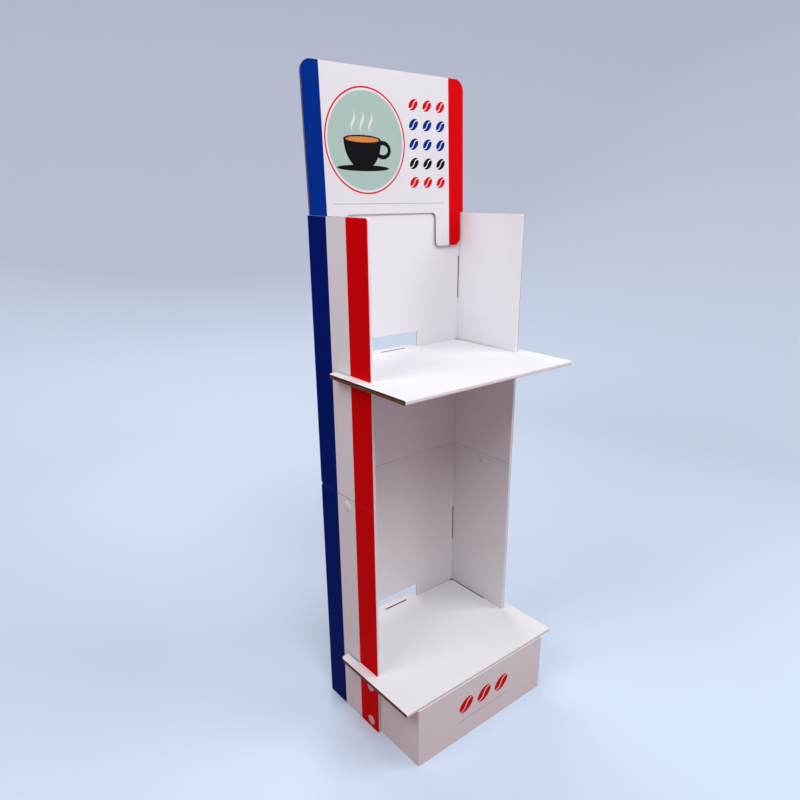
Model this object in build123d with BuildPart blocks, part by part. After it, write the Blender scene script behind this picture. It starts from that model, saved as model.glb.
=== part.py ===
"""Cardboard floor display stand: a folded body, two cross-lapped shelves, a header card and a plinth.

Every card piece is die-cut from one corrugated sheet and folded, and plastic snap rivets hold the layers.
Millimetres, +Z up. The stand faces -Y, and its origin is the middle of its box on the floor.
Depths are measured forwards from the outside of the back panel.
"""

import os
from math import cos, radians, sin

from build123d import *

# Corrugated sheet
board = 4.0              # thickness of one layer
fold_gap = 0.3           # air between two layers folded flat on each other
fold_radius = 2.0        # outside radius of a creased fold
fit = 0.5                # clearance where card slides past card
score_width = 2.4        # scored line, across
score_depth = 0.6        # scored line, into the board

# Body: back panel and two doubled sides
body_width = 450.0
body_depth = 212.0
body_height = 1235.0
packing_fold = 617.5     # height of the scored line round the whole body
corner_notch = 5.0       # radius of the punched hole where that line meets a back corner
top_corner_radius = 6.0  # top front corner of a side
liner_tab_length = 105.0
liner_tab_heights = (365.0, 1076.0)
tab_slot_slack = 3.0     # open strip of a tab's slot, beside the tab

# Shelves
wing_width = 25.0        # past the outside of a side
shelf_reach = 357.0      # depth of the front edge
lower_shelf_top = 172.5
upper_shelf_top = 913.5
lap_depth = 140.0        # depth where the slot of a side meets the slot of a shelf
wing_rear = 93.0         # depth of the back edge of the wings outside the body
wing_radius = 10.0
shelf_spring = 1.6       # air between a shelf's two layers, which spring apart
shelf_fold_radius = 3.0  # outside radius of a shelf's front fold
shelf_side_gap = 3.0     # between a shelf's edge and a side
shelf_corner_radius = 12.0
slot_play = 0.6          # free height of a side's slot over the shelf

# Back windows, and the shelf tabs that lock in them
window_width = 154.0
window_rise = 39.0       # from the shelf up
tab_reach = 25.0         # behind the back panel
tab_radius = 20.0
lock_width = 74.0        # tongue of the back panel in the tab's slot
lock_sink = 3.0          # from the shelf down to the top of that tongue

# Header card
header_inset = 2.0       # from the outside of a side to the card's edge
header_rise = 296.0
header_radius = 25.0
header_lean = 2.0        # degrees, backwards
header_gap = 0.2         # between the card and the top of the back panel
leg_gap = 3.7            # between a leg and the liner beside it
leg_width = 81.5
leg_drop = 78.0
leg_radius = 10.0
leg_chamfer = 12.0
leg_root_radius = 12.0   # curved cut between a leg and the tongue
tongue_gap = 0.3         # between the tongue and the outside of the back panel
tongue_drop = 72.0       # behind the back panel

# Plinth
plinth_reach = 1.5       # in front of the lower shelf's edge
return_lap = 70.0        # length of a return inside a side
return_chamfer = 15.0

# Snap rivets, each a hollow socket from outside and a pin from inside
side_rivet_depth = 110.0
side_rivet_height = 596.0
plinth_rivet_inset = 28.0  # from the front of a side
plinth_rivet_heights = (22.0, 126.0)
rivet_hole = 10.0
rivet_play = 0.3         # between the shank and its hole, all round
rivet_head = 26.0
rivet_crown = 2.4        # height of a head
rivet_draft = 0.9        # taper of a head's edge
rivet_wall = 1.8         # wall of the hollow shank
pin_play = 0.2
pin_short = 1.0          # from the pin's end to the bottom of the shank

# Derived sizes
doubled = 2 * board + fold_gap
shelf_thickness = 2 * board + shelf_spring
plinth_front = shelf_reach + plinth_reach
back_y = (plinth_front - tab_reach) / 2
half_width = body_width / 2
liner_face = half_width - doubled
liner_rear = board + fit
plinth_half = liner_face - fit
plinth_rear = body_depth - return_lap
shelf_width = body_width + 2 * wing_width
header_width = body_width - 2 * header_inset
leg_outer = liner_face - leg_gap
leg_inner = leg_outer - leg_width
shelf_tops = {"lower_shelf": lower_shelf_top, "upper_shelf": upper_shelf_top}
side_rivets = [(side_rivet_depth, side_rivet_height)]
plinth_rivets = [(body_depth - plinth_rivet_inset, height) for height in plinth_rivet_heights]
sides = (-1, 1)


def at_depth(depth):
    """Y of a point at this depth."""
    return back_y - depth


def is_at(value, target):
    return abs(value - target) < 0.01


def folded_section(*face, radius=fold_radius):
    """Section of a folded sheet, from the line of one of its faces, with the board on that line's right."""
    line = [Vector(*point) for point in face]
    runs = [(end - start).normalized() for start, end in zip(line, line[1:])]
    normals = [Vector(run.Y, -run.X) for run in runs]
    other_face = [
        point + (before + after) * (board / (1 + before.dot(after)))
        for point, before, after in zip(line, normals[:1] + normals, normals + normals[-1:])
    ]
    with BuildSketch(mode=Mode.PRIVATE) as section:
        with BuildLine():
            Polyline(*line, *reversed(other_face), close=True)
        make_face()
        corners = line[1:-1]
        folds = section.vertices().filter_by(
            lambda v: any(is_at((v.center() - corner).length, 0) for corner in corners)
        )
        fillet(folds, radius=radius)
    return section.sketch


def score_section():
    """Diamond that cuts a scored line where its middle lies on a face."""
    edge, deep = score_width / 2, score_depth
    return Polygon((-deep, 0), (0, edge), (deep, 0), (0, -edge), mode=Mode.PRIVATE)


# Body: one strip that runs liner, front fold, side, back, side, front fold, liner
with BuildPart() as body_shell:
    with BuildSketch():
        add(
            folded_section(
                (-liner_face, at_depth(liner_rear)),
                (-liner_face, at_depth(body_depth)),
                (-half_width, at_depth(body_depth)),
                (-half_width, at_depth(0)),
                (half_width, at_depth(0)),
                (half_width, at_depth(body_depth)),
                (liner_face, at_depth(body_depth)),
                (liner_face, at_depth(liner_rear)),
            )
        )
    extrude(amount=body_height)

    # Back panel: windows with a lock tongue, and slots for the liner tabs
    back_plane = Plane.XZ.offset(-at_depth(0))
    with BuildSketch(back_plane):
        for shelf_top in shelf_tops.values():
            with Locations((0, shelf_top - shelf_thickness)):
                sill = (Align.CENTER, Align.MIN)
                Rectangle(window_width, shelf_thickness + window_rise, align=sill)
                Rectangle(lock_width, shelf_thickness - lock_sink, align=sill, mode=Mode.SUBTRACT)
        tab_slot = tab_slot_slack + board + fold_gap / 2
        tab_slot_middle = liner_face - tab_slot_slack + tab_slot / 2
        with Locations([(side * tab_slot_middle, height) for side in sides for height in liner_tab_heights]):
            Rectangle(tab_slot, liner_tab_length + 2 * fit)
    extrude(amount=board, mode=Mode.SUBTRACT)

    # Tabs of the liners, flush with the outside of the back panel
    with BuildSketch(back_plane):
        liner_middle = liner_face + board / 2
        with Locations([(side * liner_middle, height) for side in sides for height in liner_tab_heights]):
            Rectangle(board, liner_tab_length)
    extrude(amount=liner_rear)

    # Sides: slots for the shelves, rounded top corners and rivet holes, through both layers
    with BuildSketch(Plane.YZ):
        for shelf_top in shelf_tops.values():
            with Locations((at_depth(lap_depth), shelf_top - shelf_thickness)):
                Rectangle(body_depth, shelf_thickness + slot_play, align=(Align.MAX, Align.MIN))
        with Locations((at_depth(body_depth), body_height)):
            Rectangle(top_corner_radius, top_corner_radius, align=(Align.MIN, Align.MAX))
        with Locations((at_depth(body_depth - top_corner_radius), body_height - top_corner_radius)):
            Circle(top_corner_radius, mode=Mode.SUBTRACT)
        with Locations([(at_depth(depth), height) for depth, height in side_rivets + plinth_rivets]):
            Circle(rivet_hole / 2)
    extrude(amount=half_width, both=True, mode=Mode.SUBTRACT)

    # Packing fold, scored on the sides, the liners, the front folds and both faces of the back
    with BuildSketch(back_plane):
        with Locations([(side * half_width, packing_fold) for side in sides]):
            add(score_section())
    extrude(amount=body_depth, mode=Mode.SUBTRACT)
    with BuildSketch(Plane.XZ.offset(-at_depth(liner_rear))):
        with Locations([(side * liner_face, packing_fold) for side in sides]):
            add(score_section())
    extrude(amount=body_depth - liner_rear, mode=Mode.SUBTRACT)
    with BuildSketch(Plane.YZ):
        with Locations((at_depth(0), packing_fold), (at_depth(body_depth), packing_fold)):
            add(score_section())
    extrude(amount=half_width, both=True, mode=Mode.SUBTRACT)
    with BuildSketch(Plane.YZ):
        with Locations((at_depth(board), packing_fold)):
            add(score_section())
    extrude(amount=liner_face, both=True, mode=Mode.SUBTRACT)
    for side in sides:
        for turn in ((0, 90, 0), (90, 0, 0)):
            with Locations(Location((side * half_width, at_depth(0), packing_fold), turn)):
                Cylinder(corner_notch, 2 * board, mode=Mode.SUBTRACT)
body_shell.part.label = "body_shell"


# Shelves: a sheet folded back under itself at the front, cut to one outline through both layers
shelves = []
for shelf_name, shelf_top in shelf_tops.items():
    with BuildPart() as shelf:
        with BuildSketch(Plane.YZ):
            add(
                folded_section(
                    (at_depth(-tab_reach), shelf_top - shelf_thickness),
                    (at_depth(shelf_reach), shelf_top - shelf_thickness),
                    (at_depth(shelf_reach), shelf_top),
                    (at_depth(-tab_reach), shelf_top),
                    radius=shelf_fold_radius,
                )
            )
        extrude(amount=shelf_width / 2, both=True)
        with BuildSketch(Plane.XY.offset(shelf_top)) as outline:
            with Locations((0, at_depth(wing_rear))):
                Rectangle(shelf_width, shelf_reach - wing_rear, align=(Align.CENTER, Align.MAX))
            with Locations((0, at_depth(lap_depth))):
                lap_width = 2 * (half_width + shelf_side_gap)
                Rectangle(lap_width, lap_depth, align=(Align.CENTER, Align.MIN), mode=Mode.SUBTRACT)
                inner_width = 2 * (liner_face - shelf_side_gap)
                Rectangle(inner_width, lap_depth - liner_rear, align=(Align.CENTER, Align.MIN))
            wing_tips = outline.vertices().filter_by(
                lambda v: is_at(abs(v.X), shelf_width / 2) and is_at(v.Y, at_depth(wing_rear))
            )
            fillet(wing_tips, radius=wing_radius)
            fillet(outline.vertices().group_by(Axis.Y)[-1], radius=shelf_corner_radius)
            with Locations((0, at_depth(-tab_reach))):
                Rectangle(window_width - 2 * fit, tab_reach + liner_rear, align=(Align.CENTER, Align.MAX))
            fillet(outline.vertices().group_by(Axis.Y)[-1], radius=tab_radius)
            with Locations((0, at_depth(board / 2))):
                Rectangle(lock_width + 2 * fit, board + 2 * fit, mode=Mode.SUBTRACT)
        extrude(amount=-shelf_thickness, mode=Mode.INTERSECT)
    shelf.part.label = shelf_name
    shelves.append(shelf.part)


# Header: a flat card that leans back, with legs in front of the back panel and a tongue hooked over its top
lean = radians(header_lean)
card_back = Plane(
    origin=(0, at_depth(board + header_gap), body_height),
    x_dir=(1, 0, 0),
    z_dir=(0, -cos(lean), sin(lean)),
)
with BuildPart() as header:
    with BuildSketch(card_back) as card:
        Rectangle(header_width, header_rise, align=(Align.CENTER, Align.MIN))
        fillet(card.vertices().group_by(Axis.Y)[-1], radius=header_radius)
        with Locations([(side * (leg_inner + leg_outer) / 2, 0) for side in sides]):
            Rectangle(leg_outer - leg_inner, leg_drop, align=(Align.CENTER, Align.MAX))
        inner_edges = card.vertices().filter_by(lambda v: is_at(abs(v.X), leg_inner))
        fillet(inner_edges.group_by(Axis.Y)[-1], radius=leg_root_radius)
        feet = card.vertices().group_by(Axis.Y)[0]
        fillet(feet.filter_by(lambda v: is_at(abs(v.X), leg_inner)), radius=leg_radius)
        feet = card.vertices().group_by(Axis.Y)[0]
        chamfer(feet.filter_by(lambda v: is_at(abs(v.X), leg_outer)), length=leg_chamfer)
    extrude(amount=board)
    with BuildSketch(Plane.YZ):
        add(
            folded_section(
                (at_depth(1.5 * board + header_gap), body_height + board),
                (at_depth(-tongue_gap - board), body_height + board),
                (at_depth(-tongue_gap - board), body_height - tongue_drop),
            )
        )
    extrude(amount=leg_inner - leg_root_radius, both=True)
header.part.label = "header"


# Plinth: a front panel under the lower shelf, with a return folded back into each side
with BuildPart() as plinth:
    with BuildSketch():
        add(
            folded_section(
                (plinth_half, at_depth(plinth_rear)),
                (plinth_half, at_depth(plinth_front)),
                (-plinth_half, at_depth(plinth_front)),
                (-plinth_half, at_depth(plinth_rear)),
            )
        )
    extrude(amount=lower_shelf_top - shelf_thickness)
    chamfer(plinth.edges().filter_by(Axis.X).group_by(Axis.Y)[-1], length=return_chamfer)
    with BuildSketch(Plane.YZ):
        with Locations([(at_depth(depth), height) for depth, height in plinth_rivets]):
            Circle(rivet_hole / 2)
    extrude(amount=half_width, both=True, mode=Mode.SUBTRACT)
plinth.part.label = "plinth"


# Snap rivets: radius across and height outwards from the face of the side
plinth_grip = doubled + fit + board
rivets = [(side, place, doubled) for side in sides for place in side_rivets]
rivets += [(side, place, plinth_grip) for side in sides for place in plinth_rivets]
shank = rivet_hole / 2 - rivet_play
bore = shank - rivet_wall
pin = bore - pin_play
head = rivet_head / 2
crown = head - rivet_draft


def rivet_axis(side, place):
    """Plane through a rivet's axis, with its Y outwards, and that axis."""
    depth, height = place
    centre = (side * half_width, at_depth(depth), height)
    return Plane(origin=centre, x_dir=(0, 0, 1), z_dir=(0, side, 0)), Axis(centre, (side, 0, 0))


with BuildPart() as rivet_sockets:
    for side, place, grip in rivets:
        plane, axis = rivet_axis(side, place)
        with BuildSketch(plane):
            with BuildLine():
                stem = Polyline((0, 0), (bore, 0), (bore, -grip), (shank, -grip), (shank, 0), (head, 0))
                Polyline(stem @ 1, (crown, rivet_crown), (0, rivet_crown), stem @ 0)
            make_face()
        revolve(axis=axis)
rivet_sockets.part.label = "rivet_sockets"

with BuildPart() as rivet_pins:
    for side, place, grip in rivets:
        plane, axis = rivet_axis(side, place)
        foot = -grip - rivet_crown
        with BuildSketch(plane):
            with BuildLine():
                stem = Polyline((0, -pin_short), (pin, -pin_short), (pin, -grip), (head, -grip))
                Polyline(stem @ 1, (crown, foot), (0, foot), stem @ 0)
            make_face()
        revolve(axis=axis)
rivet_pins.part.label = "rivet_pins"


os.makedirs("parts", exist_ok=True)
for piece in (body_shell.part, *shelves, header.part, plinth.part, rivet_sockets.part, rivet_pins.part):
    export_step(piece, f"parts/{piece.label}.step")
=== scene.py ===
"""Looks of a cardboard display stand: printed and varnished board, open fluted edges and moulded rivets.

Metres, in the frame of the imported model: +Z up, the stand faces -Y.
"""

from math import cos, pi, radians, sin

import bmesh
import bpy
from mathutils import Matrix, Vector


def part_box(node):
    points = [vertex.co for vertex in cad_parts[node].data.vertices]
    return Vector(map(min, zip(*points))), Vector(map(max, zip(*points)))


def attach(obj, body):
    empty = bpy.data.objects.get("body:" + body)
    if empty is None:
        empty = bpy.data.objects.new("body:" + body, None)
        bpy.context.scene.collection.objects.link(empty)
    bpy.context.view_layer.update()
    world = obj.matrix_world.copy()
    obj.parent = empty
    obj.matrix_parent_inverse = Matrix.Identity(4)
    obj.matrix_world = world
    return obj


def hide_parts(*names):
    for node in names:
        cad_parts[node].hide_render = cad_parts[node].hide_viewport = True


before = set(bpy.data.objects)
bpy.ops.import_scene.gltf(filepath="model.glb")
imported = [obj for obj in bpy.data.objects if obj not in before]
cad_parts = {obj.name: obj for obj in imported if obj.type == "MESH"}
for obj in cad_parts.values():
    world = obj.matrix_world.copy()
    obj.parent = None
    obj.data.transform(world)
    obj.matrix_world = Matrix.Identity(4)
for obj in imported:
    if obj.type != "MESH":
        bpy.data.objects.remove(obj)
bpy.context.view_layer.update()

# Corrugated board
BOARD = 0.004           # one layer
LINER = 0.0004          # paper on each side of the flutes
FLUTE_PITCH = 0.0079
FLUTE_PAPER = 0.0003    # thickness of the fluted paper
EDGE_DEPTH = 0.003      # how far an open edge can be seen into
EDGE_SINK = 0.0001      # from the liners' edges in to the fluted paper
OPEN_SINK = 0.0008      # the same in the upper layer of a shelf, whose edge is less crushed
STEPS_PER_FLUTE = 12
FLUTE_SWING = BOARD / 2 - LINER - FLUTE_PAPER / 2
CUT_FIBRE = 420.0       # noise scales of paper fibre
FLUTE_FIBRE = 650.0
CARD_SHARP = radians(25)      # corners that turn more than this are sharp
DETAIL_SHARP = radians(40)    # the same on flutes and rivets
MERGE = 2e-6
HAIR = 1e-5

# Places on the stand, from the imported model
BODY_LOW, BODY_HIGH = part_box("body_shell")
SHELF_BOXES = {name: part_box(name) for name in ("upper_shelf", "lower_shelf")}
PLINTH_LOW, PLINTH_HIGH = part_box("plinth")
HALF_WIDTH = BODY_HIGH.x
BACK_Y = BODY_HIGH.y
FRONT_Y = BODY_LOW.y
TOP_Z = BODY_HIGH.z
DOUBLED = 0.0083                    # two layers folded flat
LINER_FACE = HALF_WIDTH - DOUBLED   # inside of a doubled side
LINER_REAR = BACK_Y - 0.0045        # back edge of the layer inside a side
WINDOW_HALF = 0.1                   # the windows in the back panel lie within this, the tab slots outside it
TOP_CORNER = 0.006                  # radius of a side's top front corner
PACKING_FOLD = 0.6175               # height of the scored line round the body
PRESSED_BELOW = 0.010               # from that line down to the mark pressed beside it, a second line of painted shade

# Header card
HEADER_LEAN = radians(2.0)
CARD_ROOT = Vector((0, BACK_Y - BOARD - 0.0002, TOP_Z))   # bottom of the card's back face
CARD_NORMAL = Vector((0, -cos(HEADER_LEAN), sin(HEADER_LEAN)))
CARD_UP = Vector((0, sin(HEADER_LEAN), cos(HEADER_LEAN)))
HEADER_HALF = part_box("header")[1].x
HEADER_RISE = 0.296
HEADER_RADIUS = 0.025
LEG_INNER = 0.1315
LEG_OUTER = 0.213
LEG_DROP = 0.078
LEG_RADIUS = 0.010
LEG_CHAMFER = 0.012
LEG_ROOT = 0.012

# Shelves
SHELF_FRONT = SHELF_BOXES["lower_shelf"][0].y
WING_REAR = BACK_Y - 0.093
WING_LAP = HALF_WIDTH + 0.003       # where a wing starts beside a side
WING_RADIUS = 0.010
TAB_HALF = 0.0765
TAB_RADIUS = 0.020
GAP_SHADOW_REACH = {"upper_shelf": 0.016, "lower_shelf": 0.140}   # from the back, how far the painted shadow in a shelf's side gap reaches

# Snap rivets
RIVET_RADIUS = 0.013
RIVET_CROWN = 0.0024
SHANK_RADIUS = 0.0047
PIN_RADIUS = 0.0027
SIDE_GRIP = DOUBLED
PLINTH_GRIP = 0.0128
SIDE_RIVETS = [(BACK_Y - 0.110, 0.596)]
PLINTH_RIVETS = [(BACK_Y - 0.184, 0.022), (BACK_Y - 0.184, 0.126)]
RIVET_SEED = 4                      # of the turn of each head

# Print
PRINT_EDGE = 0.00015                # half the blur of a printed edge
VARNISH_SPECULAR = 0.006            # thin water-based varnish
WEAR_REACH = 0.0016                 # how far in from an edge ink is rubbed
REAR_BAND = (-0.01, 0.0715)         # depths from the back of a side
FRONT_BAND = (0.1415, 0.2125)
HEADER_LEFT_BAND = -0.180           # the header's colour bands end at these X
HEADER_RIGHT_BAND = 0.175
HEADER_MIDDLE = 0.150               # middle of the header's print, up from the top of the body
BADGE_X = -0.068                    # round picture of a cup
BADGE_RING, BADGE_WHITE, BADGE_GROUND = 0.108, 0.1045, 0.100   # its radii
CUP_X = -0.078
CUP_RIM = 0.154                     # up from the top of the body
CUP_HALF = 0.050                    # half the width of the rim
CUP_RIM_HALF = 0.0085               # half its height
COFFEE = (0.0445, 0.0058)           # half width and half height
COFFEE_DROP = 0.0005                # this drop and those below are down from the rim
BOWL_DEPTH = 0.062                  # of the oval that the bowl is cut from
BOWL_DROP = 0.054
HANDLE_OUT = 0.054                  # from the middle of the cup
HANDLE_DROP = 0.020
HANDLE_OUTER = (0.023, 0.019)
HANDLE_INNER = (0.014, 0.010)
SAUCER = (0.070, 0.0065)
SAUCER_DROP = 0.058
STEAM_RISE = 0.034                  # up from the rim to the middle of the steam
STEAM_PITCH = 0.023                 # between the three wisps
STEAM_REACH = 0.033                 # either side of the cup's middle
STEAM_HALF = 0.0225                 # half their height
HEADER_BEANS_X = 0.108              # middle of the rows of beans
HEADER_BEAN = 0.0150                # half the length of a bean
HEADER_BEAN_PITCH = 0.041
HEADER_RULE = 0.022                 # thin line, up from the top of the body
HEADER_RULE_X = -0.0025             # its middle
HEADER_RULE_REACH = 0.160           # either side of that
PLINTH_BEAN = 0.026
PLINTH_BEAN_PITCH = 0.062
PLINTH_BEANS_Z = 0.096
PLINTH_RULE_Z = 0.052
RULE_HALF = 0.0006                  # half the thickness of a thin line

# Camera, found from the corners of the stand in the photograph
CAMERA_PLACE = (-1.0073, -1.12025, 1.2808)
CAMERA_AZIMUTH = radians(-40.27)
CAMERA_ELEVATION = radians(20.23)
CAMERA_ROLL = radians(0.1)
CAMERA_LENS = 30.05
CAMERA_SENSOR = 36.0
CAMERA_SHIFT = (-0.0223, 0.0483)

# Lamps
LAMP_WHITE = (0.96, 1.0, 1.03)
STAND_MIDDLE = (0.0, -0.05, 0.8)
BACK_MIDDLE = (0.0, 0.1, 0.8)
SOFTBOX = (1.4, 1.4)
REAR_SOFTBOX = (2.0, 2.0)
LAMPS = [                           # name, place, what it faces, size and watts
    ("key_softbox", (-0.58, -1.55, 3.09), STAND_MIDDLE, SOFTBOX, 33.0),
    ("far_softbox", (-1.22, -2.67, 4.25), STAND_MIDDLE, SOFTBOX, 24.0),
    ("right_softbox", (1.40, -1.45, 2.78), STAND_MIDDLE, SOFTBOX, 29.0),
    ("side_softbox", (-1.98, -0.05, 2.78), STAND_MIDDLE, SOFTBOX, 32.0),
    ("right_fill", (1.86, -1.91, 1.76), STAND_MIDDLE, SOFTBOX, 10.0),
    ("rear_softbox", (0.70, 2.30, 2.50), BACK_MIDDLE, REAR_SOFTBOX, 44.0),
]
AIR_COLOUR = (1.0, 0.84, 0.90)
AIR_STRENGTH = 0.10


def paint(red, green, blue):
    """Linear colour of an sRGB one given from 0 to 255."""
    def linear(value):
        value /= 255
        return value / 12.92 if value <= 0.04045 else ((value + 0.055) / 1.055) ** 2.4
    return (linear(red), linear(green), linear(blue), 1.0)


WHITE_BOARD = paint(231, 228, 231)
SHADED_HEADER_WHITE = paint(224, 221, 225)   # the header is a sheet of its own; its white is a little greyer, as painted shade that tones down the light on it
WORN_PAPER = paint(222, 212, 206)
# grey of the painted shade in the packing fold's crease; over the colour bands it also stands for ink worn at
# the fold
CREASE_SHADE_AND_WEAR = paint(128, 118, 122)
CUT_PAPER = paint(226, 206, 192)
KRAFT = paint(170, 118, 82)
# Kraft in shade: KRAFT_SHADE is the darker fibre of the paper, and painted shade in the tab slots, the
# shelves' fold gaps and the flute hollows; the two below are painted shade only, in flute hollows, in the
# shelves' upper-layer flutes and in the gaps beside the shelves
KRAFT_SHADE = paint(112, 70, 46)
HOLLOW_SHADE_KRAFT = paint(56, 32, 22)
DARKEST_SHADE_KRAFT = paint(26, 12, 9)
INK_BLUE = paint(4, 44, 132)
INK_RED = paint(212, 8, 16)
SHADED_BODY_BLUE = paint(2, 24, 110)        # a little deeper than the header's blue, as painted shade on the body's sides
BODY_RED = paint(214, 3, 8)
INK_BLACK = paint(22, 22, 26)
INK_SAGE = paint(170, 192, 184)
INK_AMBER = paint(214, 132, 70)
INK_GREY = paint(160, 154, 158)
MILKY_PLASTIC = paint(229, 225, 228)
STAGE_PAINT = paint(172, 148, 151)
STAGE_SEEN = paint(208, 222, 240)   # the same paint as the camera and reflections see it
STAGE_GLOW = 0.28                   # of the backdrop: the floor round the stand has none, for its shadow


# Node helpers

def fill(tree, socket, value):
    """Sets a socket, or links it to a Field or to another socket."""
    if isinstance(value, Field):
        value = value.socket
    if isinstance(value, bpy.types.NodeSocket):
        tree.links.new(value, socket)
    else:
        socket.default_value = value


def add_node(tree, kind, inputs=None, **settings):
    """New node; inputs maps a socket's name or number to a value, a Field or a socket."""
    node = tree.nodes.new(kind)
    for key, value in settings.items():
        setattr(node, key, value)
    for key, value in (inputs or {}).items():
        fill(tree, node.inputs[key], value)
    return node


class Field:
    """A number that changes over a surface or along a path: arithmetic on it makes Math nodes."""

    def __init__(self, tree, socket):
        self.tree = tree
        self.socket = socket

    def math(self, operation, *others, clamp=False):
        inputs = dict(enumerate((self, *others)))
        node = add_node(self.tree, "ShaderNodeMath", inputs, operation=operation, use_clamp=clamp)
        return Field(self.tree, node.outputs[0])

    def __add__(self, other):
        return self.math("ADD", other)

    def __sub__(self, other):
        return self.math("SUBTRACT", other)

    def __mul__(self, other):
        return self.math("MULTIPLY", other)

    def __truediv__(self, other):
        return self.math("DIVIDE", other)

    def __neg__(self):
        return self * -1.0

    def __abs__(self):
        return self.math("ABSOLUTE")

    def sine(self):
        return self.math("SINE")

    def least(self, other):
        return self.math("MINIMUM", other)

    def most(self, other):
        return self.math("MAXIMUM", other)

    def beyond(self, other):
        """1 where this is over the other, and 0 elsewhere."""
        return self.math("GREATER_THAN", other)

    def tiled(self, pitch):
        """Distance from the nearest of a row of middles, pitch apart."""
        return self.math("WRAP", pitch / 2, -pitch / 2)

    def ranged(self, low, high, to_low=0.0, to_high=1.0):
        inputs = {"Value": self, "From Min": low, "From Max": high, "To Min": to_low, "To Max": to_high}
        return Field(self.tree, add_node(self.tree, "ShaderNodeMapRange", inputs).outputs[0])

    def clamped(self):
        return self.math("ADD", 0.0, clamp=True)

    def inked(self):
        """Mask of where this distance is under 0, with an edge as soft as print."""
        return (self / (-2 * PRINT_EDGE) + 0.5).clamped()

    def within(self, low, high):
        """Mask of the band from low to high."""
        return (abs(self - (low + high) / 2) - (high - low) / 2).inked()


def length(across, up):
    return (across * across + up * up).math("SQRT")


def mix_colour(tree, factor, under, over, blend="MIX"):
    node = add_node(tree, "ShaderNodeMix", data_type="RGBA", blend_type=blend)
    for socket, value in zip((node.inputs[0], node.inputs[6], node.inputs[7]), (factor, under, over)):
        fill(tree, socket, value)
    return node.outputs[2]


def new_group(name, kind, inputs, outputs):
    """Empty node group with named sockets, and its two end nodes."""
    group = bpy.data.node_groups.new(name, kind)
    for direction, sockets in (("INPUT", inputs), ("OUTPUT", outputs)):
        for socket_name, socket_kind in sockets.items():
            group.interface.new_socket(socket_name, in_out=direction, socket_type="NodeSocket" + socket_kind)
    return group, group.nodes.new("NodeGroupInput").outputs, group.nodes.new("NodeGroupOutput").inputs


def use_group(tree, group, inputs):
    node = add_node(tree, "ShaderNodeGroup", node_tree=group)
    for key, value in inputs.items():
        fill(tree, node.inputs[key], value)
    return node.outputs


def object_place(tree):
    return tree.nodes.new("ShaderNodeTexCoord").outputs["Object"]


def object_axes(tree):
    """X, Y and Z of the surface in the stand's frame."""
    axes = add_node(tree, "ShaderNodeSeparateXYZ", {0: object_place(tree)}).outputs
    return [Field(tree, axis) for axis in axes]


def noise(tree, scale, detail, roughness=0.5):
    inputs = {"Vector": object_place(tree), "Scale": scale, "Detail": detail, "Roughness": roughness}
    return Field(tree, add_node(tree, "ShaderNodeTexNoise", inputs).outputs["Fac"])


def bump(tree, height, strength, distance, normal=None):
    inputs = {"Strength": strength, "Distance": distance, "Height": height}
    if normal is not None:
        inputs["Normal"] = normal
    return add_node(tree, "ShaderNodeBump", inputs).outputs["Normal"]


def new_material(name):
    material = bpy.data.materials.new(name)
    material.use_nodes = True
    return material, material.node_tree, material.node_tree.nodes["Principled BSDF"]


# Finishes that several materials share

def coated_liner_group():
    """Varnished paper over flutes: faint mottling, uneven gloss, flute ridges and a slight warp."""
    group, given, result = new_group(
        "coated_liner",
        "ShaderNodeTree",
        {"Ink": "Color", "Across flutes": "Float", "Gloss roughness": "Float"},
        {"Color": "Color", "Roughness": "Float", "Normal": "Vector"},
    )
    mottle = noise(group, scale=22.0, detail=3.0, roughness=0.55)
    fibre = noise(group, scale=1500.0, detail=2.0)
    warp = noise(group, scale=5.5, detail=1.0)
    across = Field(group, given["Across flutes"])
    colour = mix_colour(group, 1.0, given["Ink"], mottle.ranged(0.25, 0.75, 0.988, 1.0).socket, "MULTIPLY")
    colour = mix_colour(group, 1.0, colour, fibre.ranged(0.3, 0.7, 0.99, 1.0).socket, "MULTIPLY")
    rough = Field(group, given["Gloss roughness"]) + mottle.ranged(0.25, 0.75, -0.015, 0.015)
    ridge = (across * (2 * pi / FLUTE_PITCH)).sine()
    normal = bump(group, warp, strength=0.4, distance=0.0012)
    normal = bump(group, ridge, strength=0.4, distance=0.00004, normal=normal)
    normal = bump(group, fibre, strength=0.1, distance=0.00004, normal=normal)
    fill(group, result["Color"], colour)
    fill(group, result["Roughness"], rough)
    fill(group, result["Normal"], normal)
    return group


def worn_edge_group():
    """Ink rubbed back to the paper in specks close to an edge or a fold."""
    group, given, result = new_group(
        "worn_edge",
        "ShaderNodeTree",
        {"Ink": "Color", "From edge": "Float", "Reach": "Float"},
        {"Color": "Color"},
    )
    near = -(Field(group, given["From edge"]) / given["Reach"]) + 1.0
    specks = noise(group, scale=420.0, detail=4.0, roughness=0.65)
    threshold, contrast, rubbed = 1.34, 7.0, 0.6
    worn = ((near.most(0.0) + specks - threshold) * contrast).clamped()
    fill(group, result["Color"], mix_colour(group, worn * rubbed, given["Ink"], WORN_PAPER))
    return group


def paper_fibre_group():
    """Matted fibres of cut or uncoated paper."""
    group, given, result = new_group(
        "paper_fibre",
        "ShaderNodeTree",
        {"Light": "Color", "Dark": "Color", "Scale": "Float"},
        {"Color": "Color", "Roughness": "Float", "Normal": "Vector"},
    )
    fibre = noise(group, given["Scale"], detail=5.0, roughness=0.7)
    fill(group, result["Color"], mix_colour(group, fibre.ranged(0.3, 0.7), given["Light"], given["Dark"]))
    fill(group, result["Roughness"], fibre.ranged(0.3, 0.7, 0.82, 0.95))
    fill(group, result["Normal"], bump(group, fibre, strength=0.5, distance=0.00008))
    return group


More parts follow.
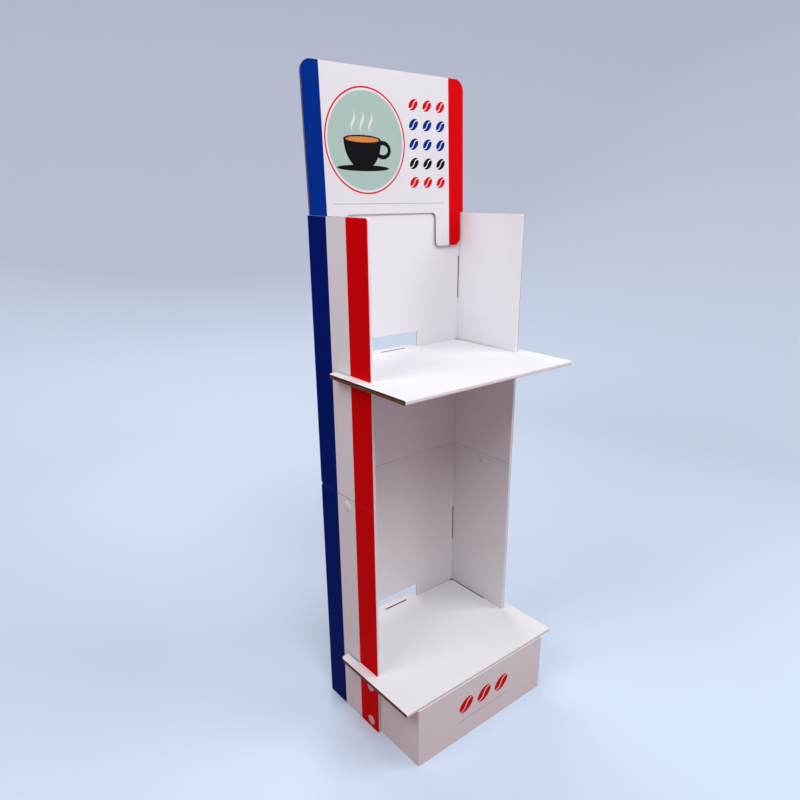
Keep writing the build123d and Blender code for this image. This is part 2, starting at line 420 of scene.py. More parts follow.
def bean_group():
    """Printed coffee bean: an oval lying aslant, split by a wavy line."""
    group, given, result = new_group(
        "printed_bean",
        "ShaderNodeTree",
        {"Across": "Float", "Up": "Float", "Size": "Float"},
        {"Mask": "Float"},
    )
    across, up, size = (Field(group, given[name]) for name in ("Across", "Up", "Size"))
    slant, narrowing, waviness, half_split = radians(38), 0.68, 0.16, 0.075
    along = (across * cos(slant) + up * sin(slant)) / size
    aside = (up * cos(slant) - across * sin(slant)) / size
    outline = (length(along, aside / narrowing) - 1.0) * size
    split = (abs(aside - (along * pi).sine() * waviness) - half_split) * size
    fill(group, result["Mask"], outline.most(-split).inked())
    return group


COATED_LINER = coated_liner_group()
WORN_EDGE = worn_edge_group()
PAPER_FIBRE = paper_fibre_group()
PRINTED_BEAN = bean_group()


# Board materials

def finish_board(tree, shader, ink, across, from_edge, roughness):
    """Ends a board material: print, worn at its edges, under the shared coated liner."""
    ink = use_group(tree, WORN_EDGE, {"Ink": ink, "From edge": from_edge, "Reach": WEAR_REACH})["Color"]
    liner = use_group(tree, COATED_LINER, {"Ink": ink, "Across flutes": across, "Gloss roughness": roughness})
    fill(tree, shader.inputs["Base Color"], liner["Color"])
    fill(tree, shader.inputs["Roughness"], liner["Roughness"])
    fill(tree, shader.inputs["Normal"], liner["Normal"])
    shader.inputs["Specular IOR Level"].default_value = VARNISH_SPECULAR


def body_board():
    """Body sheet: three colour bands down the outside of each side, and white elsewhere."""
    material, tree, shader = new_material("body_board")
    x, y, z = object_axes(tree)
    depth = -y + BACK_Y
    outside = abs(x).beyond(HALF_WIDTH - BOARD / 2)
    facing = add_node(tree, "ShaderNodeNewGeometry").outputs["True Normal"]
    faces_side = abs(Field(tree, add_node(tree, "ShaderNodeSeparateXYZ", {0: facing}).outputs[0])).beyond(0.7)

    # Painted shade along the scored packing fold and the mark pressed under it: broken inside, whole outside
    scored = abs(z - PACKING_FOLD).ranged(0.0008, 0.0030, 0.30, 0.0)
    pressed = abs(z - PACKING_FOLD + PRESSED_BELOW).ranged(0.0006, 0.0024, 0.12, 0.0)
    broken = noise(tree, scale=9.0, detail=2.0).ranged(0.40, 0.56, 0.15, 0.75)
    crease_shade = (scored + pressed) * broken.most(outside)

    # Print, through which the fold shows a little: its painted shade, and ink worn lighter on the blue
    ink = mix_colour(tree, crease_shade, WHITE_BOARD, CREASE_SHADE_AND_WEAR)
    right = x.beyond(0.0)
    for band, left_ink, right_ink in ((REAR_BAND, SHADED_BODY_BLUE, BODY_RED), (FRONT_BAND, BODY_RED, SHADED_BODY_BLUE)):
        band_ink = mix_colour(tree, right, left_ink, right_ink)
        ink = mix_colour(tree, depth.within(*band) * outside, ink, band_ink)
    ink = mix_colour(tree, crease_shade * 0.2, ink, CREASE_SHADE_AND_WEAR)

    # Cut paper in the windows and slots of the back panel, with painted shade on the slots' edges, and
    # painted shadow on the liners in the gaps beside the shelves
    in_panel = y.beyond(BACK_Y - BOARD) * (-y).beyond(0.0001 - BACK_Y)
    in_slot = in_panel * (-abs(x)).beyond(-LINER_FACE - 0.0002)
    cut_paper_and_slot_shade = mix_colour(tree, abs(x).beyond(WINDOW_HALF), WORN_PAPER, KRAFT_SHADE)
    ink = mix_colour(tree, in_slot * faces_side, ink, cut_paper_and_slot_shade)
    inside = (-abs(x)).beyond(-LINER_FACE - BOARD / 2)
    for shelf, reach in GAP_SHADOW_REACH.items():
        low, high = SHELF_BOXES[shelf]
        gap = z.within(low.z, high.z) * depth.within(2 * PRINT_EDGE, reach) * inside
        ink = mix_colour(tree, gap, ink, DARKEST_SHADE_KRAFT)

    across = faces_side * y + (-faces_side + 1.0) * x
    ends = z.least(-z + TOP_Z)
    folds = depth.least(y - FRONT_Y).most(abs(-abs(x) + HALF_WIDTH))
    finish_board(tree, shader, ink, across, ends.least(folds), roughness=0.15)
    return material


def shelf_board():
    """White outside, and bare brown paper in the gap between a shelf's two layers, darkened with painted
    shade.
    """
    material, tree, shader = new_material("shelf_board")
    x, y, z = object_axes(tree)
    wing = SHELF_BOXES["lower_shelf"][1].x
    ink = WHITE_BOARD
    for low, high in SHELF_BOXES.values():
        in_gap = (-abs(z - (low.z + high.z) / 2)).beyond(BOARD - (high.z - low.z) / 2 - HAIR)
        ink = mix_colour(tree, in_gap * (y - SHELF_FRONT).beyond(BOARD / 2), ink, KRAFT_SHADE)
    finish_board(tree, shader, ink, y, -abs(x) + wing, roughness=0.18)
    return material


def plinth_board():
    """White plinth with a row of beans over a thin rule on its front."""
    material, tree, shader = new_material("plinth_board")
    x, y, z = object_axes(tree)
    front = (-y).beyond(-PLINTH_LOW.y - HAIR)
    bean = {"Across": x.tiled(PLINTH_BEAN_PITCH), "Up": z - PLINTH_BEANS_Z, "Size": PLINTH_BEAN}
    row = (abs(x) - 1.5 * PLINTH_BEAN_PITCH).inked()
    beans = Field(tree, use_group(tree, PRINTED_BEAN, bean)["Mask"]) * row
    rule = (abs(z - PLINTH_RULE_Z) - RULE_HALF).most(abs(x) - 1.45 * PLINTH_BEAN_PITCH).inked()
    ink = mix_colour(tree, beans * front, WHITE_BOARD, INK_RED)
    ink = mix_colour(tree, rule * front, ink, INK_GREY)
    edges = z.least((-abs(x) + PLINTH_HIGH.x).most(y - PLINTH_LOW.y))
    finish_board(tree, shader, ink, x, edges, roughness=0.20)
    return material


def oval(across, up, half_width, half_height):
    """Rough distance outwards from the edge of an oval."""
    return (length(across / half_width, up / half_height) - 1.0) * min(half_width, half_height)


def header_board():
    """Header print: a colour band down each side, and between them a steaming cup and rows of beans."""
    material, tree, shader = new_material("header_board")
    x, y, z = object_axes(tree)
    up = z - TOP_Z
    from_back = (-(y - CARD_ROOT.y)) * cos(HEADER_LEAN) + up * sin(HEADER_LEAN)
    front = from_back.beyond(BOARD * 0.9)

    cup_x, rim = x - CUP_X, up - CUP_RIM
    badge = length(x - BADGE_X, up - HEADER_MIDDLE)
    bowl = oval(cup_x, rim, CUP_HALF, BOWL_DEPTH).most(rim).most(-rim - BOWL_DROP)
    handle_x, handle_up = cup_x - HANDLE_OUT, rim + HANDLE_DROP
    handle = oval(handle_x, handle_up, *HANDLE_OUTER).most(-oval(handle_x, handle_up, *HANDLE_INNER))
    saucer = oval(cup_x, rim + SAUCER_DROP, *SAUCER)
    steam_up = rim - STEAM_RISE
    wave = (steam_up * 130.0).sine() * 0.0045
    steam = abs(cup_x.tiled(STEAM_PITCH) - wave) - (-abs(steam_up) * 0.16 + 0.0036)
    wisps = steam.most(abs(cup_x) - STEAM_REACH).most(abs(steam_up) - STEAM_HALF)
    rule = (abs(up - HEADER_RULE) - RULE_HALF).most(abs(x - HEADER_RULE_X) - HEADER_RULE_REACH)
    layers = [
        ((badge - BADGE_RING).inked(), INK_RED),
        ((badge - BADGE_WHITE).inked(), SHADED_HEADER_WHITE),
        ((badge - BADGE_GROUND).inked(), INK_SAGE),
        (wisps.inked(), SHADED_HEADER_WHITE),
        (handle.least(saucer).least(bowl).inked(), INK_BLACK),
        (oval(cup_x, rim, CUP_HALF, CUP_RIM_HALF).inked(), INK_BLACK),
        (oval(cup_x, rim + COFFEE_DROP, *COFFEE).inked(), INK_AMBER),
        (rule.inked(), INK_GREY),
    ]

    pitch, bean_x, bean_up = HEADER_BEAN_PITCH, x - HEADER_BEANS_X, up - HEADER_MIDDLE
    bean = {"Across": bean_x.tiled(pitch), "Up": bean_up.tiled(pitch), "Size": HEADER_BEAN}
    beans = Field(tree, use_group(tree, PRINTED_BEAN, bean)["Mask"])
    for row, bean_ink in enumerate((INK_RED, INK_BLACK, INK_BLUE, INK_BLUE, INK_RED)):
        box = (abs(bean_x) - 1.5 * pitch).most(abs(bean_up - (row - 2) * pitch) - 0.5 * pitch)
        layers.append((beans * box.inked(), bean_ink))
    layers += [((x - HEADER_LEFT_BAND).inked(), INK_BLUE), ((-x + HEADER_RIGHT_BAND).inked(), INK_RED)]

    ink = SHADED_HEADER_WHITE
    for mask, layer_ink in layers:
        ink = mix_colour(tree, mask * front, ink, layer_ink)
    edges = (-abs(x) + HEADER_HALF).least(-up + HEADER_RISE)
    finish_board(tree, shader, ink, x, edges, roughness=0.15)
    return material


def raw_paper(name, light, dark, scale):
    """Die-cut or uncoated paper."""
    material, tree, shader = new_material(name)
    fibre = use_group(tree, PAPER_FIBRE, {"Light": light, "Dark": dark, "Scale": scale})
    fill(tree, shader.inputs["Base Color"], fibre["Color"])
    fill(tree, shader.inputs["Roughness"], fibre["Roughness"])
    fill(tree, shader.inputs["Normal"], fibre["Normal"])
    return material


def moulded_plastic():
    """Milky satin plastic that lets the print under it show a little."""
    material, tree, shader = new_material("moulded_plastic")
    x, y, z = object_axes(tree)
    flow = noise(tree, scale=130.0, detail=2.0)
    grain = noise(tree, scale=900.0, detail=3.0)
    on_front_band = (-y + BACK_Y).within(*FRONT_BAND) * abs(x).beyond(HALF_WIDTH)
    print_under = mix_colour(tree, x.beyond(0.0), BODY_RED, SHADED_BODY_BLUE)
    show_through = 0.5
    colour = mix_colour(tree, on_front_band * show_through, MILKY_PLASTIC, print_under)
    colour = mix_colour(tree, 1.0, colour, flow.ranged(0.3, 0.7, 0.94, 1.0).socket, "MULTIPLY")
    fill(tree, shader.inputs["Base Color"], colour)
    fill(tree, shader.inputs["Roughness"], flow.ranged(0.3, 0.7, 0.34, 0.46))
    fill(tree, shader.inputs["Normal"], bump(tree, grain, strength=0.2, distance=0.00005))
    return material


CUT_EDGE = raw_paper("cut_edge", CUT_PAPER, KRAFT, CUT_FIBRE)
CUT_KRAFT = raw_paper("cut_kraft", KRAFT, KRAFT_SHADE, CUT_FIBRE)
# Hollows of open edges: kraft darkened with painted shade
FLUTE_HOLLOW_PAINTED_SHADE = raw_paper("flute_hollow", KRAFT_SHADE, HOLLOW_SHADE_KRAFT, FLUTE_FIBRE)
FLUTE_KRAFT = raw_paper("flute_kraft", KRAFT, KRAFT_SHADE, FLUTE_FIBRE)
# Upper layer of a shelf: kraft darkened further with painted shade, for its open flutes
UPPER_FLUTE_PAINTED_SHADE = raw_paper("flute_shaded", HOLLOW_SHADE_KRAFT, DARKEST_SHADE_KRAFT, FLUTE_FIBRE)
RIVET_PLASTIC = moulded_plastic()


# Board pieces

def applied_mesh(name, maker):
    """Plain mesh of an object with its modifiers applied. The object itself goes."""
    evaluated = maker.evaluated_get(bpy.context.evaluated_depsgraph_get())
    mesh = bpy.data.meshes.new_from_object(evaluated)
    mesh.name = name
    bpy.data.objects.remove(maker)
    return mesh


def flat_panels(mesh):
    """The mesh with normals that keep its large faces flat and its small folds round."""
    maker = bpy.data.objects.new(mesh.name, mesh)
    bpy.context.scene.collection.objects.link(maker)
    maker.modifiers.new("weighted", "WEIGHTED_NORMAL").keep_sharp = True
    return applied_mesh(mesh.name, maker)


def new_piece(name, mesh, nodes=()):
    piece = bpy.data.objects.new(name, mesh)
    bpy.context.scene.collection.objects.link(piece)
    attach(piece, "root")
    if nodes:
        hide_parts(*nodes)
    return piece


def open_board(node, board_material, is_cut, rim=CUT_EDGE):
    """Copy of a CAD sheet with its die-cut edges open: two liners, and a hollow for the flutes, painted with
    shade.
    """
    work = bmesh.new()
    work.from_mesh(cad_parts[node].data)
    bmesh.ops.remove_doubles(work, verts=work.verts, dist=MERGE)
    for face in work.faces:
        face.material_index = 0
    cut = [face for face in work.faces if is_cut(face.normal, face.calc_center_median())]
    inset = {"use_boundary": True, "use_even_offset": True}
    rims = bmesh.ops.inset_region(work, faces=cut, thickness=LINER, **inset)["faces"]
    walls = bmesh.ops.inset_region(work, faces=cut, thickness=HAIR, depth=-EDGE_DEPTH, **inset)["faces"]
    for face in rims:
        face.material_index = 1
    # The hollow's walls and floor take kraft with painted shade
    for face in walls + cut:
        face.material_index = 2
    mesh = bpy.data.meshes.new(node + "_card")
    work.to_mesh(mesh)
    work.free()
    for material in (board_material, rim, FLUTE_HOLLOW_PAINTED_SHADE):
        mesh.materials.append(material)
    mesh.shade_smooth()
    mesh.set_sharp_from_angle(angle=CARD_SHARP)
    return new_piece(node + "_card", flat_panels(mesh), [node])


def is_body_cut(normal, middle):
    """The top and bottom edges of the body."""
    return (normal.z > 0.999 and middle.z > TOP_Z - HAIR) or (normal.z < -0.999 and middle.z < HAIR)


def is_header_cut(normal, middle):
    """Every edge of the card and of its tongue, but not the fold between them."""
    in_fold = abs(middle.x) < LEG_INNER - LEG_ROOT - HAIR and abs(middle.z - TOP_Z) < 2 * BOARD
    return abs(normal.dot(CARD_NORMAL)) < 0.04 and not in_fold


def is_shelf_cut(normal, middle):
    """Every upright edge of a shelf, but not the fold along its front."""
    in_fold = abs(normal.y) > 0.9 and middle.y < SHELF_FRONT + 2 * BOARD
    return abs(normal.z) < 0.05 and not in_fold


def is_plinth_cut(normal, middle):
    """The bottom edge of the plinth. Its top edge lies under the lower shelf."""
    return normal.z < -0.999 and middle.z < HAIR


open_board("body_shell", body_board(), is_body_cut)
open_board("header", header_board(), is_header_cut)
SHELF_BOARD = shelf_board()
for shelf in SHELF_BOXES:
    open_board(shelf, SHELF_BOARD, is_shelf_cut, CUT_KRAFT)
open_board("plinth", plinth_board(), is_plinth_cut)


# Fluted paper in the open edges

def named_attribute(tree, name, kind):
    return add_node(tree, "GeometryNodeInputNamedAttribute", {"Name": name}, data_type=kind).outputs[0]


def dressed_geometry(tree, geometry, material):
    """The end of a Geometry Nodes tree: no instances, and its material."""
    real = add_node(tree, "GeometryNodeRealizeInstances", {"Geometry": geometry}).outputs[0]
    return add_node(tree, "GeometryNodeSetMaterial", {"Geometry": real, "Material": material}).outputs[0]


def fluted_edge_tree():
    """Waved paper along the paths of another object, standing in the edges that those paths follow.

    A lying sheet has its edge round the path's plane: the paper swings out of that plane. A standing sheet is
    seen end on, in plan: the paper swings in that plane. A path's radius rounds its corner.
    """
    tree, given, result = new_group(
        "fluted_edge",
        "GeometryNodeTree",
        {
            "Paths": "Object",
            "Facing": "Vector",
            "Across flutes": "Vector",
            "Standing": "Bool",
            "Pitch": "Float",
            "Swing": "Float",
            "Sink": "Float",
            "Depth": "Float",
            "Step": "Float",
            "Paper": "Material",
        },
        {"Geometry": "Geometry"},
    )

    def vector_math(operation, first, second):
        return add_node(tree, "ShaderNodeVectorMath", {0: first, 1: second}, operation=operation).outputs

    def either(kind, when_lying, when_standing):
        inputs = {"Switch": given["Standing"], "False": when_lying, "True": when_standing}
        return add_node(tree, "GeometryNodeSwitch", inputs, input_type=kind).outputs[0]

    def along(direction, amount):
        node = add_node(tree, "ShaderNodeVectorMath", {0: direction}, operation="SCALE")
        fill(tree, node.inputs["Scale"], amount)
        return node.outputs[0]

    paths = add_node(tree, "GeometryNodeObjectInfo", {"Object": given["Paths"]}).outputs["Geometry"]
    corner = add_node(tree, "GeometryNodeInputRadius").outputs[0]
    rounding = {"Curve": paths, "Count": 10, "Radius": corner}
    rounded = add_node(tree, "GeometryNodeFilletCurve", rounding, mode="POLY").outputs[0]
    stepping = {"Curve": rounded, "Length": given["Step"]}
    stepped = add_node(tree, "GeometryNodeResampleCurve", stepping, mode="LENGTH").outputs[0]

    tangent = add_node(tree, "GeometryNodeInputTangent").outputs[0]
    position = add_node(tree, "GeometryNodeInputPosition").outputs[0]
    run = add_node(tree, "GeometryNodeSplineParameter").outputs["Length"]
    aside = vector_math("CROSS_PRODUCT", given["Facing"], tangent)[0]
    inward = either("VECTOR", aside, along(given["Facing"], -1.0))
    swing_way = either("VECTOR", given["Facing"], aside)
    coordinate = either("FLOAT", vector_math("DOT_PRODUCT", position, given["Across flutes"])[1], run)
    wave = (Field(tree, coordinate) / given["Pitch"] * (2 * pi)).sine() * given["Swing"]
    offset = vector_math("ADD", along(swing_way, wave), along(inward, given["Sink"]))[0]

    naming = {"Geometry": stepped, "Name": "inward", "Value": inward}
    named = add_node(tree, "GeometryNodeStoreNamedAttribute", naming, data_type="FLOAT_VECTOR").outputs[0]
    waved = add_node(tree, "GeometryNodeSetPosition", {"Geometry": named, "Offset": offset}).outputs[0]
    edge = add_node(tree, "GeometryNodeCurveToMesh", {"Curve": waved}).outputs[0]
    kept = named_attribute(tree, "inward", "FLOAT_VECTOR")
    push = {"Mesh": edge, "Offset": kept, "Offset Scale": given["Depth"]}
    sheet = add_node(tree, "GeometryNodeExtrudeMesh", push, mode="EDGES").outputs[0]
    fill(tree, result["Geometry"], dressed_geometry(tree, sheet, given["Paper"]))
    return tree


FLUTED_EDGE = fluted_edge_tree()


def grown_mesh(name, host, tree, inputs, wall=0.0):
    """Plain mesh that a Geometry Nodes tree makes on a host mesh, with a wall if its thickness is given."""
    maker = bpy.data.objects.new(name, host)
    bpy.context.scene.collection.objects.link(maker)
    nodes = maker.modifiers.new(name, "NODES")
    nodes.node_group = tree
    for socket in tree.interface.items_tree:
        if socket.in_out == "INPUT" and socket.name in inputs:
            nodes[socket.identifier] = inputs[socket.name]
    if wall:
        solid = maker.modifiers.new("wall", "SOLIDIFY")
        solid.thickness = wall
        solid.offset = 0.0
    return applied_mesh(name, maker)


def path_object(paths):
    """Curve object with one straight-sided spline for each path of (point, corner radius)."""
    curve = bpy.data.curves.new("edge_paths", "CURVE")
    curve.dimensions = "3D"
    for path in paths:
        spline = curve.splines.new("POLY")
        spline.points.add(len(path) - 1)
        for point, (place, radius) in zip(spline.points, path):
            point.co = (*place, 1.0)
            point.radius = radius
    holder = bpy.data.objects.new("edge_paths", curve)
    bpy.context.scene.collection.objects.link(holder)
    return holder


def fluted_piece(
    name, slot, paths, facing, across=(0.0, 0.0, 0.0), standing=False, sink=EDGE_SINK, paper=FLUTE_KRAFT
):
    """Fluted paper along paths. The flutes of a lying sheet are counted along across."""
    holder = path_object(paths)
    inputs = {
        "Paths": holder,
        "Facing": facing,
        "Across flutes": across,
        "Standing": standing,
        "Pitch": FLUTE_PITCH,
        "Swing": FLUTE_SWING,
        "Sink": sink,
        "Depth": EDGE_DEPTH - sink,
        "Step": FLUTE_PITCH / STEPS_PER_FLUTE,
        "Paper": paper,
    }
    mesh = grown_mesh(name, bpy.data.meshes.new(name + "_host"), FLUTED_EDGE, inputs, FLUTE_PAPER)
    bpy.data.objects.remove(holder)
    mesh.shade_smooth()
    mesh.set_sharp_from_angle(angle=DETAIL_SHARP)
    new_piece(name, mesh)


def body_edge_paths():
    """The middle of the board round the top of the body, in plan, and round its bottom."""
    liner = LINER_FACE + BOARD / 2
    side = HALF_WIDTH - BOARD / 2
    back = BACK_Y - BOARD / 2
    front = FRONT_Y + BOARD / 2
    start = FRONT_Y + TOP_CORNER
    bend = BOARD / 2

    def level(height, *corners):
        return [(Vector((x, y, height)), radius) for x, y, radius in corners]

    top = [
        level(TOP_Z, (-liner, LINER_REAR, 0), (-liner, start, 0)),
        level(TOP_Z, (-side, start, 0), (-side, back, bend), (side, back, bend), (side, start, 0)),
        level(TOP_Z, (liner, start, 0), (liner, LINER_REAR, 0)),
    ]
    bottom = level(
        0.0,
        (-liner, LINER_REAR, 0), (-liner, front, bend), (-side, front, bend), (-side, back, bend),
        (side, back, bend), (side, front, bend), (liner, front, bend), (liner, LINER_REAR, 0),
    )
    return top, [bottom]


def header_edge_paths():
    """The header's outline in the middle of its board, from one side of the tongue round to the other."""
    right = [
        (LEG_INNER - LEG_ROOT, 0, 0),
        (LEG_INNER, 0, LEG_ROOT),
        (LEG_INNER, -LEG_DROP, LEG_RADIUS),
        (LEG_OUTER - LEG_CHAMFER, -LEG_DROP, 0),
        (LEG_OUTER, LEG_CHAMFER - LEG_DROP, 0),
        (LEG_OUTER, 0, 0),
        (HEADER_HALF, 0, 0),
        (HEADER_HALF, HEADER_RISE, HEADER_RADIUS),
    ]
    outline = right + [(-x, up, radius) for x, up, radius in reversed(right)]
    middle = CARD_ROOT + CARD_NORMAL * BOARD / 2
    return [[(middle + Vector((x, 0, 0)) + CARD_UP * up, radius) for x, up, radius in outline]]


def shelf_edge_paths(low, high, height):
    """The open edges of one layer of a shelf: its two wings and the tab behind the back panel."""
    front = low.y + BOARD
    right = [(high.x, front, 0), (high.x, WING_REAR, WING_RADIUS), (WING_LAP, WING_REAR, 0)]
    left = [(-x, y, radius) for x, y, radius in reversed(right)]
    tab = [(TAB_HALF, BACK_Y, 0), (TAB_HALF, high.y, TAB_RADIUS)]
    tab += [(-x, y, radius) for x, y, radius in reversed(tab)]
    return [[(Vector((x, y, height)), radius) for x, y, radius in path] for path in (right, left, tab)]


body_top, body_bottom = body_edge_paths()
fluted_piece("body_top_flutes", "printed_board", body_top, (0.0, 0.0, 1.0), standing=True)
fluted_piece("body_bottom_flutes", "printed_board", body_bottom, (0.0, 0.0, -1.0), standing=True)
fluted_piece("header_flutes", "printed_board", header_edge_paths(), tuple(CARD_NORMAL), (1.0, 0.0, 0.0))
along_y = {"facing": (0.0, 0.0, 1.0), "across": (0.0, 1.0, 0.0)}
for shelf, (shelf_low, shelf_high) in SHELF_BOXES.items():
    # The upper layer's flutes take paper painted dark, as painted shade in its open flutes
    layers = (
        ("_top_flutes", shelf_high.z - BOARD / 2, OPEN_SINK, UPPER_FLUTE_PAINTED_SHADE),
        ("_under_flutes", shelf_low.z + BOARD / 2, EDGE_SINK, FLUTE_KRAFT),
    )
    for ending, height, sink, paper in layers:
        layer_paths = shelf_edge_paths(shelf_low, shelf_high, height)
        fluted_piece(shelf + ending, "white_board", layer_paths, **along_y, sink=sink, paper=paper)


# Snap rivets

def turned_object(name, profile, steps=48):
    """Object turned round Z from a line of (radius, height)."""
    work = bmesh.new()
    line = [work.verts.new((radius, 0, height)) for radius, height in profile]
    edges = [work.edges.new(pair) for pair in zip(line, line[1:])]
    bmesh.ops.spin(work, geom=line + edges, axis=(0, 0, 1), cent=(0, 0, 0), angle=2 * pi, steps=steps)
    bmesh.ops.remove_doubles(work, verts=work.verts, dist=MERGE)
    bmesh.ops.recalc_face_normals(work, faces=work.faces)
    mesh = bpy.data.meshes.new(name)
    work.to_mesh(mesh)
    work.free()
    turned = bpy.data.objects.new(name, mesh)
    bpy.context.scene.collection.objects.link(turned)
    return turned


def rim_profile():
    """From the raised ring of a rivet's head over its rounded edge to the underside."""
    ring, edge, crown = 0.0098, RIVET_RADIUS, RIVET_CROWN
    return [
        (ring - 0.0012, crown - 0.0005),
        (ring - 0.0005, crown - 0.0004),
        (ring, crown - 0.00005),
        (ring + 0.0006, crown),
        (edge - 0.0014, crown),
        (edge - 0.0006, crown - 0.00025),
        (edge - 0.00015, crown - 0.0008),
        (edge, crown - 0.0015),
        (edge, 0.0),
    ]


def socket_profile(grip):
    """Domed head with a gate mark, on a hollow shank."""
    edge, crown = RIVET_RADIUS - 0.0002, RIVET_CROWN - 0.0001
    gate = [(0.0, crown - 0.0002), (0.0008, crown - 0.0002), (0.0010, crown), (0.0020, crown)]
    rounds = [radians(degrees) for degrees in range(15, 90, 15)]
    dome = [(0.0020 + (edge - 0.0020) * sin(turn), 0.0004 + (crown - 0.0004) * cos(turn)) for turn in rounds]
    bore = SHANK_RADIUS - 0.0018
    shank = [(SHANK_RADIUS, 0.0), (SHANK_RADIUS, -grip), (bore, -grip), (bore, 0.0), (0.0, 0.0)]
    return gate + dome + [(edge, 0.0004), (edge, 0.0)] + shank


def pin_profile(grip):
    """Head with a drive hole in its middle, on the pin that spreads the shank."""
    hole, floor, face = 0.0023, -0.0065, RIVET_CROWN - 0.0006
    end = 0.001 - grip
    middle = [
        (0.0, floor),
        (hole, floor),
        (hole, face - 0.0003),
        (hole + 0.0004, face),
        (0.0060, face + 0.0001),
    ]
    return middle + rim_profile() + [(PIN_RADIUS, 0.0), (PIN_RADIUS, end), (0.0, end)]


def rivet_set_tree():
    """A rivet half on each point of a mesh, turned to face the way that the point's attribute gives."""
    tree, given, result = new_group(
        "rivet_set",
        "GeometryNodeTree",
        {
            "Points": "Geometry",
            "Short half": "Object",
            "Long half": "Object",
            "Seed": "Int",
            "Plastic": "Material",
        },
        {"Geometry": "Geometry"},
    )
    facing = named_attribute(tree, "facing", "FLOAT_VECTOR")
    is_long = named_attribute(tree, "is_long", "BOOLEAN")
    is_short = add_node(tree, "FunctionNodeBooleanMath", {0: is_long}, operation="NOT").outputs[0]
    aimed = add_node(tree, "FunctionNodeAlignRotationToVector", {"Vector": facing}, axis="Z").outputs[0]
    angle = add_node(tree, "FunctionNodeRandomValue", {2: 0.0, 3: 2 * pi, "Seed": given["Seed"]}).outputs[1]
    spinning = {"Axis": (0.0, 0.0, 1.0), "Angle": angle}
    spin = add_node(tree, "FunctionNodeAxisAngleToRotation", spinning).outputs[0]
    turning = {"Rotation": aimed, "Rotate By": spin}
    turn = add_node(tree, "FunctionNodeRotateRotation", turning, rotation_space="LOCAL").outputs[0]
    joined = add_node(tree, "GeometryNodeJoinGeometry")
    for half, chosen in (("Short half", is_short), ("Long half", is_long)):
        shape = add_node(tree, "GeometryNodeObjectInfo", {"Object": given[half]}).outputs["Geometry"]
        setting = {"Points": given["Points"], "Selection": chosen, "Instance": shape, "Rotation": turn}
        fill(tree, joined.inputs[0], add_node(tree, "GeometryNodeInstanceOnPoints", setting).outputs[0])
    fill(tree, result["Geometry"], dressed_geometry(tree, joined.outputs[0], given["Plastic"]))
    return tree


RIVET_SET = rivet_set_tree()


def rivet_piece(node, profile, outwards):
    """All the sockets, which face out from the sides, or all the pins, which face in."""
    places = [
        (side, place, grip)
        for side in (-1, 1)
        for group, grip in ((SIDE_RIVETS, SIDE_GRIP), (PLINTH_RIVETS, PLINTH_GRIP))
        for place in group
    ]
    points = [(side * (HALF_WIDTH - (0 if outwards else grip)), *place) for side, place, grip in places]
    host = bpy.data.meshes.new(node + "_points")
    host.from_pydata(points, [], [])
    facing = host.attributes.new("facing", "FLOAT_VECTOR", "POINT")
    is_long = host.attributes.new("is_long", "BOOLEAN", "POINT")
    for index, (side, place, grip) in enumerate(places):
        facing.data[index].vector = (side if outwards else -side, 0, 0)
        is_long.data[index].value = grip == PLINTH_GRIP
    halves = {
        "Short half": turned_object(node + "_short", profile(SIDE_GRIP)),
        "Long half": turned_object(node + "_long", profile(PLINTH_GRIP)),
    }
    inputs = {**halves, "Seed": RIVET_SEED, "Plastic": RIVET_PLASTIC}
    mesh = grown_mesh(node + "_set", host, RIVET_SET, inputs)
    for half in halves.values():
        bpy.data.objects.remove(half)
    mesh.shade_smooth()
    mesh.set_sharp_from_angle(angle=DETAIL_SHARP)
    new_piece(node + "_set", mesh, [node])


rivet_piece("rivet_sockets", socket_profile, outwards=True)
rivet_piece("rivet_pins", pin_profile, outwards=False)


# Floor and backdrop: one round sweep

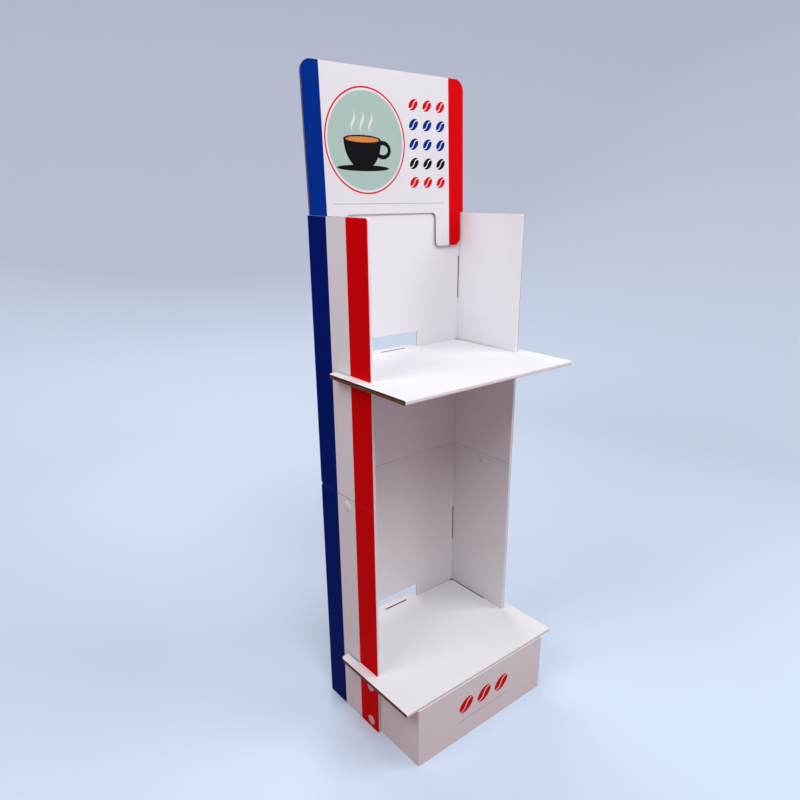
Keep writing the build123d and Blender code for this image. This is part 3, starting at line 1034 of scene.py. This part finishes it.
def stage_sweep():
    """Floor that turns up into the backdrop all round, in one pale paint."""
    floor_radius, sweep_radius, wall_height, arc_steps = 2.4, 1.6, 5.0, 16
    glow_from, glow_to = 0.9, 3.2
    profile = [(0.0, 0.0), (floor_radius, 0.0)]
    for step in range(1, arc_steps + 1):
        turn = step / arc_steps * pi / 2
        profile.append((floor_radius + sweep_radius * sin(turn), sweep_radius * (1 - cos(turn))))
    profile.append((floor_radius + sweep_radius, wall_height))
    sweep = turned_object("stage_sweep", profile, 96)
    sweep.data.flip_normals()
    sweep.data.shade_smooth()
    material, tree, shader = new_material("stage_paint")
    rays = add_node(tree, "ShaderNodeLightPath").outputs
    seen = Field(tree, rays["Is Camera Ray"]).most(rays["Is Glossy Ray"]).most(rays["Is Transmission Ray"])
    fill(tree, shader.inputs["Base Color"], mix_colour(tree, seen, STAGE_PAINT, STAGE_SEEN))
    shader.inputs["Emission Color"].default_value = STAGE_SEEN
    x, y, z = object_axes(tree)
    glow = length(x, y).ranged(glow_from, glow_to, 0.0, STAGE_GLOW)
    fill(tree, shader.inputs["Emission Strength"], seen * glow)
    shader.inputs["Roughness"].default_value = 0.9
    sweep.data.materials.append(material)


stage_sweep()


# Light and camera

def area_lamp(name, place, target, size, power):
    lamp = bpy.data.lights.new(name, "AREA")
    lamp.shape = "RECTANGLE"
    lamp.size, lamp.size_y = size
    lamp.energy = power
    lamp.color = LAMP_WHITE
    rig = bpy.data.objects.new(name, lamp)
    bpy.context.scene.collection.objects.link(rig)
    rig.location = place
    rig.rotation_euler = (Vector(target) - Vector(place)).to_track_quat("-Z", "Y").to_euler()


def world_light(colour, strength):
    world = bpy.data.worlds.new("studio_air")
    bpy.context.scene.world = world
    world.use_nodes = True
    background = world.node_tree.nodes["Background"]
    background.inputs["Color"].default_value = (*colour, 1.0)
    background.inputs["Strength"].default_value = strength


for settings in LAMPS:
    area_lamp(*settings)
world_light(AIR_COLOUR, AIR_STRENGTH)


def photo_camera():
    camera = bpy.data.cameras.new("camera")
    camera.lens = CAMERA_LENS
    camera.sensor_width = CAMERA_SENSOR
    camera.shift_x, camera.shift_y = CAMERA_SHIFT
    rig = bpy.data.objects.new("camera", camera)
    bpy.context.scene.collection.objects.link(rig)
    turn = (
        Matrix.Rotation(CAMERA_AZIMUTH, 4, "Z")
        @ Matrix.Rotation(pi / 2 - CAMERA_ELEVATION, 4, "X")
        @ Matrix.Rotation(CAMERA_ROLL, 4, "Z")
    )
    rig.matrix_world = Matrix.Translation(CAMERA_PLACE) @ turn
    bpy.context.scene.camera = rig


photo_camera()
bpy.context.scene.view_settings.view_transform = "Standard"
